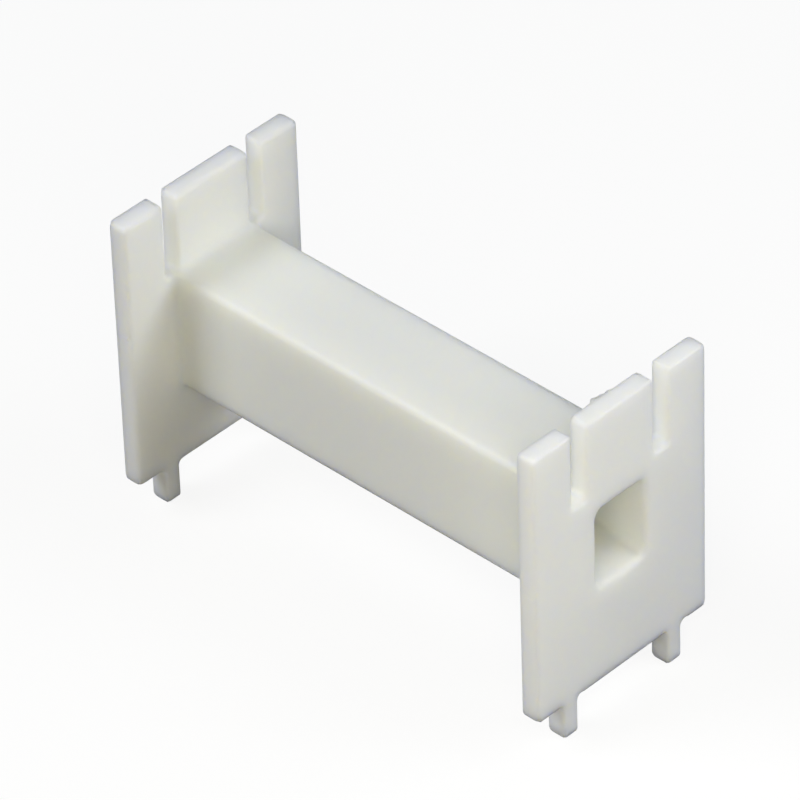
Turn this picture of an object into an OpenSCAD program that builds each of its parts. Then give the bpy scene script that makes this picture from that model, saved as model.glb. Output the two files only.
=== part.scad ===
// Bobbin for a small transformer, moulded in one piece of nylon: a rectangular tube between
// two flanges, with slots for the winding's leads above it and pegs for the board below.
// X runs along the tube, Y across the flanges and Z up. The origin lies under the middle of
// the bobbin, level with the tips of its pegs. All sizes are in millimetres.

/* [Bobbin] */
// Length over both flanges
length = 50; // [20:0.5:90]

/* [Tube] */
// Width of the tube, outside
tube_w = 10.1; // [7:0.1:15]
// Height of the tube, outside
tube_h = 12.35; // [8:0.05:19]
// Thickness of the tube's walls
tube_wall = 2.05; // [0.8:0.05:2.5]
// Rounding of the tube's long edges
tube_r = 0.5; // [0.2:0.1:3]
// Fillet where the tube meets a flange
root_r = 0.4; // [0.1:0.05:0.9]

/* [Core window] */
// Rounding in the corners of the window
window_r = 0.8; // [0.3:0.1:1.5]
// Rounding of the edge at the window's mouths
mouth_r = 0.6; // [0.05:0.05:1]

/* [Flanges] */
// Width of a flange
flange_w = 21.5; // [18:0.1:40]
// Height of a flange, without its pegs
flange_h = 28.6; // [23:0.1:50]
// Thickness of a flange
flange_t = 2.05; // [1.2:0.05:4]
// Rounding of the corners of a flange and its tabs, seen along the tube
corner_r = 0.25; // [0.15:0.05:1]
// Rounding of the level edges of a flange's outer face
outer_edge_r = 0.1; // [0.05:0.05:0.4]
// Rounding of the upright edges of a flange's outer face
upright_edge_r = 0.35; // [0.05:0.05:0.6]
// Rounding of the edges round a flange's inner face
inner_edge_r = 0.25; // [0.05:0.05:0.4]

/* [Lead slots] */
// Width of a slot
slot_w = 1.75; // [1:0.05:3]
// Depth of a slot, from the flange's top down to the level of the tube's top
slot_depth = 8.05; // [2:0.05:14]
// Distance from the tube's side out to the middle of a slot
slot_out = 0.05; // [-0.5:0.05:1.5]
// Fillet in the bottom corners of a slot
slot_r = 0.2; // [0.1:0.05:0.45]

/* [Pegs] */
// Width of a peg, across the flange
peg_w = 1.85; // [1:0.05:4]
// Length of a peg below the flange
peg_len = 3.9; // [1.5:0.1:8]
// Distance between the middles of a flange's two pegs
peg_pitch = 13.2; // [6:0.1:17]
// Rounding of a peg's edges and tip
peg_edge_r = 0.2; // [0.05:0.05:0.45]
// Fillet where a peg meets its flange
peg_root_r = 0.45; // [0.1:0.05:0.9]

/* [Hidden] */
$fn = 96;

// How far a cut runs past what it opens, and how far a fillet is sunk into its walls
past = 1;
sink = 0.1;
// Middle plane and top of a flange
flange_x = (length - flange_t) / 2;
flange_top = peg_len + flange_h;
// Floor of the slots, which the tube's top lines up with, and the tube's axis
slot_z = flange_top - slot_depth;
tube_z = slot_z - tube_h / 2;
// Inner and outer side of a slot
slot_in_y = tube_w / 2 + slot_out - slot_w / 2;
slot_out_y = slot_in_y + slot_w;
// Window for the core's leg, through the tube and both flanges
window_w = tube_w - 2 * tube_wall;
window_h = tube_h - 2 * tube_wall;

// Rectangle about the origin with its corners rounded, by one radius on the left and one on the right
module round_rect(w, h, left_r, right_r) {
    translate([left_r - w / 2, -h / 2])
        square([w - left_r - right_r, h]);
    for (side = [0, 1])
        mirror([side, 0]) {
            r = [right_r, left_r][side];
            translate([0, r - h / 2])
                square([w / 2, h - 2 * r]);
            for (y = [-1, 1])
                translate([w / 2 - r, y * (h / 2 - r)])
                    circle(r);
        }
}

// Section of a fillet that opens towards +X and +Y from a corner at the origin, sunk a little into
// both walls; taken away from an edge instead, it leaves the edge rounded
module cove(r) {
    difference() {
        translate([-sink, -sink])
            square(r + sink);
        translate([r, r])
            circle(r);
    }
}

// Stands a shape drawn on XY upright across the bobbin, so that its Z runs along the tube
module across_tube() {
    rotate([90, 0, 90])
        children();
}

// Sweeps a section round a rectangle with round corners, with the section's X pointing outwards
module sweep_round_rect(w, h, r) {
    for (turn = [0 : 3]) {
        side = turn % 2 == 0 ? [w, h] : [h, w];
        rotate(90 * turn)
            translate([side.x / 2, 0, 0])
                rotate([90, 0, 0])
                    linear_extrude(side.y - 2 * r, center = true)
                        children();
    }
    for (x = [-1, 1], y = [-1, 1])
        translate([x * (w / 2 - r), y * (h / 2 - r), 0])
            rotate_extrude()
                translate([r, 0])
                    children();
}

// Block as thick as a flange, from y0 to y1 and from z0 to z1, with its corners rounded and also
// the edges of its inner face, on the left, and the upright and level edges of its outer face
module soft_block(y0, y1, z0, z1, corner, inner, upright, level) {
    w = y1 - y0;
    h = z1 - z0;
    translate([0, (y0 + y1) / 2, (z0 + z1) / 2])
        intersection() {
            across_tube()
                linear_extrude(flange_t, center = true)
                    round_rect(w, h, corner, corner);
            linear_extrude(h, center = true)
                round_rect(flange_t, w, inner, upright);
            rotate([90, 0, 0])
                linear_extrude(w, center = true)
                    round_rect(flange_t, h, inner, level);
        }
}

// Fillet through a flange's thickness in a corner at (y, z), short of the faces by their edge
// roundings; unturned it opens towards +Y and +Z
module corner_fillet(y, z, turn, r, inner, outer) {
    translate([(inner - outer) / 2, y, z])
        across_tube()
            linear_extrude(flange_t - inner - outer, center = true)
                rotate(turn)
                    cove(r);
}

// One peg, sunk into the flange above it by the flange's thickness, with the fillets at its root
module peg() {
    edge = peg_edge_r;
    soft_block(-peg_w / 2, peg_w / 2, 0, peg_len + flange_t, edge, edge, edge, edge);
    corner_fillet(peg_w / 2, peg_len, -90, peg_root_r, edge, edge);
    corner_fillet(-peg_w / 2, peg_len, 180, peg_root_r, edge, edge);
}

// The flange at +X: a panel up to the slots' floor, a middle tab and two side tabs that stand in
// it, fillets in the slots' corners, and two pegs
module flange() {
    inner = inner_edge_r;
    upright = upright_edge_r;
    level = outer_edge_r;
    soft_block(-flange_w / 2, flange_w / 2, peg_len, slot_z, corner_r, inner, upright, level);
    soft_block(-slot_in_y, slot_in_y, tube_z, flange_top, corner_r, inner, upright, level);
    for (side = [0, 1])
        mirror([0, side, 0]) {
            soft_block(slot_out_y, flange_w / 2, tube_z, flange_top, corner_r, inner, upright, level);
            corner_fillet(slot_in_y, slot_z, 0, slot_r, inner, upright);
            corner_fillet(slot_out_y, slot_z, 90, slot_r, inner, upright);
            translate([0, peg_pitch / 2, 0])
                peg();
        }
}

// Fillet round the tube against a flange's face at x = 0, kept clear of the slots
module root_fillet() {
    difference() {
        translate([0, 0, tube_z])
            across_tube()
                sweep_round_rect(tube_w, tube_h, tube_r)
                    cove(root_r);
        for (side = [0, 1])
            mirror([0, side, 0])
                translate([-root_r - past, slot_in_y, slot_z])
                    cube([2 * (root_r + past), slot_w, root_r + past]);
    }
}

// The tube before its window is cut, sunk into both flanges, with its root fillets
module tube() {
    translate([0, 0, tube_z])
        across_tube()
            linear_extrude(length - flange_t, center = true)
                round_rect(tube_w, tube_h, tube_r, tube_r);
    for (end = [0, 1])
        mirror([end, 0, 0])
            translate([flange_t - length / 2, 0, 0])
                root_fillet();
}

// The space for the core's leg, with the cuts that round its mouths
module core_window() {
    translate([0, 0, tube_z])
        across_tube() {
            linear_extrude(length + 2 * past, center = true)
                round_rect(window_w, window_h, window_r, window_r);
            for (end = [0, 1])
                mirror([0, 0, end])
                    translate([0, 0, -length / 2])
                        sweep_round_rect(window_w, window_h, window_r)
                            cove(mouth_r);
        }
}

module bobbin() {
    color("ivory")
        difference() {
            union() {
                tube();
                for (end = [0, 1])
                    mirror([end, 0, 0])
                        translate([flange_x, 0, 0])
                            flange();
            }
            core_window();
        }
}

bobbin();
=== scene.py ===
import math

import bmesh
import bpy
from mathutils import Matrix, Vector, noise


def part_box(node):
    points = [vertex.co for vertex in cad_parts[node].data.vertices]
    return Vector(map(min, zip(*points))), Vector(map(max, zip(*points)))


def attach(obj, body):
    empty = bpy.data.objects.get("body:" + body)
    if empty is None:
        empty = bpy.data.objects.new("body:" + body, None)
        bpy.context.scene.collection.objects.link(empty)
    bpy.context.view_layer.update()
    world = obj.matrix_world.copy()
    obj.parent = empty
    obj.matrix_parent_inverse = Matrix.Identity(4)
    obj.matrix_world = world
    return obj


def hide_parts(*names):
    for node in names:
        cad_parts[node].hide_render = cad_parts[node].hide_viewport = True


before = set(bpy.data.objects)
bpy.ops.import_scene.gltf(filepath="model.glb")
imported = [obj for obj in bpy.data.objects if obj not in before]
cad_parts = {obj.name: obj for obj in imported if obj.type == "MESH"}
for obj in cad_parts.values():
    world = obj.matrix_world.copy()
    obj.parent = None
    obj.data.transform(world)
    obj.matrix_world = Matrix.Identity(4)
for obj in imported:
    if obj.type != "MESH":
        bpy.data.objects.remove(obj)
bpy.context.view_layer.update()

# Moulded bobbin
# The whole part is one injection moulding in milky nylon: a rectangular tube between two flanges.
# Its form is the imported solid's, laid over with an even net that is smoothed once, and once more on
# the far flange, because the real moulding's edges and corners are soft.
MM = 0.001
SEAM = 0.001 * MM
NET_PITCH = 0.28 * MM
SMOOTHING = 0.5
FAR_FLANGE_REACH = -20 * MM

low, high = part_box("bobbin")
moulding = bmesh.new()
moulding.from_mesh(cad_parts["bobbin"].data)
bmesh.ops.remove_doubles(moulding, verts=moulding.verts, dist=SEAM)
bobbin_mesh = bpy.data.meshes.new("bobbin_moulding")
moulding.to_mesh(bobbin_mesh)
bobbin = bpy.data.objects.new("bobbin_moulding", bobbin_mesh)
bpy.context.scene.collection.objects.link(bobbin)
even_net = bobbin.modifiers.new("even_net", "REMESH")
even_net.mode = "VOXEL"
even_net.voxel_size = NET_PITCH
netted = bobbin.evaluated_get(bpy.context.evaluated_depsgraph_get())
moulding.clear()
moulding.from_mesh(netted.to_mesh())
netted.to_mesh_clear()
bobbin.modifiers.clear()
for reach in (high.x + NET_PITCH, FAR_FLANGE_REACH):
    bmesh.ops.smooth_vert(
        moulding, verts=[vert for vert in moulding.verts if vert.co.x < reach], factor=SMOOTHING,
        use_axis_x=True, use_axis_y=True, use_axis_z=True)
for vert in moulding.verts:
    vert.co = [min(max(vert.co[axis], low[axis]), high[axis]) for axis in range(3)]


def ramp(value, start, end):
    """Nothing at the start and one at the end, with a straight change between and level beyond."""
    return min(max((value - start) / (end - start), 0), 1)


# Middle tab of the far flange: its sides lean out into the slots beside it, which stay narrow.
# The lean rises and falls with the distance from the tab's middle, in millimetres.
LEAN = 0.3 * MM
LEAN_RISE = (1.5, 3.2)
LEAN_FALL = (5.2, 4.7)
LEANING_UP_TO = -22.4 * MM
SLOT_FLOOR = 24.45 * MM
FLOOR_BLEND = 0.6 * MM
for vert in moulding.verts:
    if vert.co.x < LEANING_UP_TO:
        out = abs(vert.co.y) / MM
        above_floor = ramp(vert.co.z, SLOT_FLOOR - FLOOR_BLEND, SLOT_FLOOR)
        share = ramp(out, *LEAN_RISE) * ramp(out, *LEAN_FALL) * above_floor
        vert.co.y += math.copysign(LEAN * share, vert.co.y)

# Marks in the skin
# Small marks from the mould and from handling: the rough lip where the gate was broken off the
# near flange's middle tab, a nick with a scuff above it, a pimple and a faint dent.
# The net is made finer in a box round each, given by its middle and size, and its points are moved.
FINER_CUTS = 2


def net_in_skin(middle, size):
    """Makes the net finer inside a box, in millimetres, and gives its points there."""
    corner = (Vector(middle) - Vector(size) / 2) * MM
    far_corner = (Vector(middle) + Vector(size) / 2) * MM

    def inside(vert):
        return all(corner[axis] < vert.co[axis] < far_corner[axis] for axis in range(3))

    edges = [edge for edge in moulding.edges if all(inside(vert) for vert in edge.verts)]
    bmesh.ops.subdivide_edges(moulding, edges=edges, cuts=FINER_CUTS, use_grid_fill=True)
    return [vert for vert in moulding.verts if inside(vert)]


def swell(spot, middle, reach):
    """One at the middle of an oval and falling smoothly to nothing at its reach, both in millimetres."""
    away = (spot / MM - Vector(middle)) * Vector(1 / length for length in reach)
    return max(0, 1 - away.length_squared) ** 2


# Gate lip on the inner face of the near flange's middle tab, along its top edge
GATE_NET = ((22.95, -0.6, 32.1), (0.8, 3.4, 0.9))
GATE_MIDDLE = (22.95, -0.6, 32.5)
GATE_REACH = (2.0, 1.6, 0.75)
GATE_HEIGHT = 0.32 * MM
GATE_GRAIN = 0.45 * MM
GATE_EVEN_PART = 0.75
GATE_RAGGED_PART = 1.1
for vert in net_in_skin(*GATE_NET):
    ragged = GATE_EVEN_PART + GATE_RAGGED_PART * noise.noise(vert.co / GATE_GRAIN)
    vert.co.x -= GATE_HEIGHT * max(0, ragged) * swell(vert.co, GATE_MIDDLE, GATE_REACH) ** 0.5

# Nick and scuff on the near flange's left side
NICK_NET = ((23.9, -10.6, 18.2), (2.0, 0.5, 3.2))
NICK_MIDDLE = (24.25, -10.75, 17.5)
NICK_REACH = (0.45, 1.0, 0.2)
NICK_DEPTH = 0.09 * MM
SCUFF_MIDDLE = (23.7, -10.75, 18.3)
SCUFF_REACH = (0.9, 1.0, 1.4)
SCUFF_DEPTH = 0.035 * MM
SCUFF_GRAIN = 0.3 * MM
SCUFF_EVEN_PART = 0.5
for vert in net_in_skin(*NICK_NET):
    scuff = SCUFF_EVEN_PART + noise.noise(vert.co / SCUFF_GRAIN)
    vert.co.y += (
        NICK_DEPTH * swell(vert.co, NICK_MIDDLE, NICK_REACH)
        + SCUFF_DEPTH * max(0, scuff) * swell(vert.co, SCUFF_MIDDLE, SCUFF_REACH))

# Pimple on the far flange's left side, in a ring that keeps its top level with the skin
PIMPLE_NET = ((-23.4, -10.6, 20.3), (1.2, 0.5, 1.2))
PIMPLE_MIDDLE = (-23.35, -10.75, 20.3)
PIMPLE_REACH = (0.45, 1.0, 0.45)
PIMPLE_RING_DEPTH = 0.06 * MM
for vert in net_in_skin(*PIMPLE_NET):
    pimple = swell(vert.co, PIMPLE_MIDDLE, PIMPLE_REACH)
    vert.co.y += PIMPLE_RING_DEPTH * 4 * pimple * (1 - pimple)

# Faint dent in the inner face of the far flange's middle tab
DENT_MIDDLE = (-22.95, 2.2, 28.2)
DENT_NET = (DENT_MIDDLE, (0.2, 1.0, 1.8))
DENT_REACH = (1.0, 0.4, 0.8)
DENT_DEPTH = 0.03 * MM
for vert in net_in_skin(*DENT_NET):
    vert.co.x -= DENT_DEPTH * swell(vert.co, DENT_MIDDLE, DENT_REACH)

for face in moulding.faces:
    face.smooth = True
moulding.to_mesh(bobbin_mesh)
moulding.free()


# Nylon
# Natural nylon is a milky, slightly yellow white that light soaks into, with a satin skin
# from the mould. The flow leaves it faintly cloudy, and the skin has a fine grain.
# The hollow tube's thin walls are painted a little warmer than the flanges: a painted glow for light
# that comes through them.
class Wire:
    """A socket of a node tree. Operators between wires and numbers add Math nodes."""

    def __init__(self, tree, socket):
        self.tree = tree
        self.socket = socket

    def maths(self, operation, first, second):
        values = {"Value": first, "Value_001": second}
        return add_node(self.tree, "ShaderNodeMath", {"operation": operation}, values)

    def __abs__(self):
        return self.maths("ABSOLUTE", self, 0)

    def __add__(self, other):
        return self.maths("ADD", self, other)

    def __mul__(self, other):
        return self.maths("MULTIPLY", self, other)

    def __radd__(self, other):
        return self.maths("ADD", other, self)

    def __rmul__(self, other):
        return self.maths("MULTIPLY", other, self)


def add_node(tree, kind, settings, sockets, output=0):
    """Adds a node, sets it up, fills or links its sockets by identifier and gives one output."""
    node = tree.nodes.new(kind)
    for name, value in settings.items():
        setattr(node, name, value)
    by_identifier = {socket.identifier: socket for socket in node.inputs}
    for name, value in sockets.items():
        if isinstance(value, Wire):
            tree.links.new(value.socket, by_identifier[name])
        else:
            by_identifier[name].default_value = value
    return Wire(tree, node.outputs[output]) if node.outputs else None


def mix_colours(tree, share, first, second):
    """The first colour where the share is nothing and the second where it is one."""
    return add_node(tree, "ShaderNodeMix", {"data_type": "RGBA"}, {
        "Factor_Float": share, "A_Color": first, "B_Color": second}, output=2)


def new_material(name):
    """A material with an empty node tree."""
    material = bpy.data.materials.new(name)
    material.use_nodes = True
    material.node_tree.nodes.clear()
    return material


NYLON_WHITE = (0.978, 0.982, 0.91, 1)
NYLON_CLOUD = (0.972, 0.973, 0.90, 1)
# Painted glow: a warmer colour for light that comes through the tube's thin walls, full along the tube
# and fading out at the flanges.
PAINTED_GLOW_WARM = (0.985, 0.98, 0.86, 1)
PAINTED_GLOW_FULL = 20.5 * MM
PAINTED_GLOW_GONE = 23.5 * MM
CLOUD_SIZE = 6 * MM
GRAIN_SIZE = 0.12 * MM
GRAIN_DEPTH = 0.02 * MM
GRAIN_STRENGTH = 0.08
SATIN = 0.40
SATIN_IN_CLOUDS = 0.10
GLOSS = 0.08
NYLON_IOR = 1.53
SOAK_DEPTH = 3.2 * MM
SOAK_BY_COLOUR = (1.0, 0.92, 0.65)

nylon = new_material("nylon")
tree = nylon.node_tree
place = add_node(tree, "ShaderNodeTexCoord", {}, {}, output="Object")
clouds = add_node(tree, "ShaderNodeTexNoise", {}, {
    "Vector": place, "Scale": 1 / CLOUD_SIZE, "Detail": 3.0, "Roughness": 0.55})
grain = add_node(tree, "ShaderNodeTexNoise", {}, {
    "Vector": place, "Scale": 1 / GRAIN_SIZE, "Detail": 2.0, "Roughness": 0.6})
along = add_node(tree, "ShaderNodeSeparateXYZ", {}, {"Vector": place}, output="X")
painted_glow_share = add_node(tree, "ShaderNodeMapRange", {}, {
    "Value": abs(along), "From Min": PAINTED_GLOW_FULL, "From Max": PAINTED_GLOW_GONE,
    "To Min": 1.0, "To Max": 0.0})
cloudy = mix_colours(tree, clouds, NYLON_WHITE, NYLON_CLOUD)
# The painted glow for light through the tube's walls is mixed into the nylon's colour here.
tint = mix_colours(tree, painted_glow_share, cloudy, PAINTED_GLOW_WARM)
skin = add_node(tree, "ShaderNodeBump", {}, {
    "Height": grain, "Strength": GRAIN_STRENGTH, "Distance": GRAIN_DEPTH})
milky = add_node(tree, "ShaderNodeBsdfPrincipled", {}, {
    "Base Color": tint, "Roughness": SATIN + SATIN_IN_CLOUDS * clouds, "Normal": skin,
    "IOR": NYLON_IOR, "Specular IOR Level": GLOSS,
    "Subsurface Weight": 1.0, "Subsurface Radius": SOAK_BY_COLOUR, "Subsurface Scale": SOAK_DEPTH})
add_node(tree, "ShaderNodeOutputMaterial", {}, {"Surface": milky})
bobbin_mesh.materials.append(nylon)

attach(bobbin, "root")
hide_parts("bobbin")

# Floor
# A plain pale sheet that the pegs stand on. The camera and what is mirrored to it see white paper,
# with the soft shadow that the bobbin throws. It sends little light back up to the bobbin.
FLOOR_SIZE = 3.0
FLOOR_GREY = (0.15, 0.15, 0.15, 1)
FLOOR_WHITE = (1, 1, 1, 1)
FLOOR_GLOW = 0.88


def seen_rays(tree):
    """One for rays from the camera, straight or by way of a mirror or glass, and nothing for others."""
    camera, glossy, passed = (
        add_node(tree, "ShaderNodeLightPath", {}, {}, output=f"Is {kind} Ray")
        for kind in ("Camera", "Glossy", "Transmission"))
    return camera.maths("MAXIMUM", camera.maths("MAXIMUM", camera, glossy), passed)


floor_shape = bmesh.new()
bmesh.ops.create_grid(floor_shape, x_segments=1, y_segments=1, size=FLOOR_SIZE / 2)
floor_mesh = bpy.data.meshes.new("floor")
floor_shape.to_mesh(floor_mesh)
floor_shape.free()
floor = bpy.data.objects.new("floor", floor_mesh)
bpy.context.scene.collection.objects.link(floor)
paper = new_material("paper")
tree = paper.node_tree
seen = seen_rays(tree)
sheet = add_node(tree, "ShaderNodeBsdfDiffuse", {}, {
    "Color": mix_colours(tree, seen, FLOOR_GREY, FLOOR_WHITE)})
glow = add_node(tree, "ShaderNodeEmission", {}, {"Color": FLOOR_WHITE, "Strength": 1.0})
mixed = add_node(tree, "ShaderNodeMixShader", {}, {
    "Fac": seen * FLOOR_GLOW, "Shader": sheet, "Shader_001": glow})
add_node(tree, "ShaderNodeOutputMaterial", {}, {"Surface": mixed})
floor_mesh.materials.append(paper)

# Studio light
# Four softboxes. The main one stands at the camera's left and one at its right. Two are close to the
# bobbin: a low one before the near flange, and a warm fill from the camera's side.
# The room is white to the camera and in the nylon's gloss, and gives no other light.
ROOM_WHITE = (1, 1, 1, 1)
FAR = 0.8
NEAR = 0.2
LAMP_SPREAD = 0.44
CLEAR_WHITE = (0.97, 0.99, 1.0)
COOL_WHITE = (0.91, 0.96, 1.0)
WARM_WHITE = (1.0, 0.95, 0.79)
centre = (low + high) / 2


def softbox(name, azimuth, elevation, distance, level, tint):
    """A square lamp that faces the bobbin and gives that level of light on a surface square to it.

    The azimuth, in degrees, is counted from the near flange's side towards the bobbin's right.
    """
    lamp = bpy.data.lights.new(name, "AREA")
    lamp.shape = "SQUARE"
    lamp.size = LAMP_SPREAD * distance
    lamp.energy = level * math.pi ** 2 * distance ** 2
    lamp.color = tint
    holder = bpy.data.objects.new(name, lamp)
    bpy.context.scene.collection.objects.link(holder)
    across = math.cos(math.radians(elevation))
    towards = Vector((
        across * math.cos(math.radians(azimuth)),
        across * math.sin(math.radians(azimuth)),
        math.sin(math.radians(elevation))))
    holder.location = centre + towards * distance
    holder.rotation_euler = towards.to_track_quat("Z", "Y").to_euler()


softbox("left_softbox", -125, 45, FAR, 0.59, CLEAR_WHITE)
softbox("right_softbox", 45, 45, FAR, 0.27, COOL_WHITE)
softbox("front_softbox", 20, 22, NEAR, 0.28, CLEAR_WHITE)
softbox("fill_softbox", -45, 30, NEAR, 0.40, WARM_WHITE)

world = bpy.data.worlds.new("studio")
bpy.context.scene.world = world
world.use_nodes = True
tree = world.node_tree
tree.nodes.clear()
room = add_node(tree, "ShaderNodeBackground", {}, {
    "Color": ROOM_WHITE, "Strength": seen_rays(tree)})
add_node(tree, "ShaderNodeOutputWorld", {}, {"Surface": room})

# Camera
# It stands at the photograph's place: high to the left of the near flange, far off behind a long
# lens, and rolled a little.
VIEW_AZIMUTH = math.radians(44.798)
VIEW_ELEVATION = math.radians(38.435)
VIEW_ROLL = math.radians(-2.007)
VIEW_DISTANCE = 646.84 * MM
AIM = Vector((-1.599, 0.735, 18.327)) * MM
LENS = 336.21
NEAREST_SEEN = 0.01
FARTHEST_SEEN = 20

lens = bpy.data.cameras.new("camera")
lens.lens = LENS
lens.clip_start = NEAREST_SEEN
lens.clip_end = FARTHEST_SEEN
camera = bpy.data.objects.new("camera", lens)
bpy.context.scene.collection.objects.link(camera)
turn = (Matrix.Rotation(VIEW_AZIMUTH, 4, "Z")
        @ Matrix.Rotation(math.pi / 2 - VIEW_ELEVATION, 4, "X")
        @ Matrix.Rotation(VIEW_ROLL, 4, "Z"))
camera.matrix_world = Matrix.Translation(AIM + VIEW_DISTANCE * turn.col[2].to_3d()) @ turn
bpy.context.scene.camera = camera
bpy.context.scene.view_settings.view_transform = "Standard"
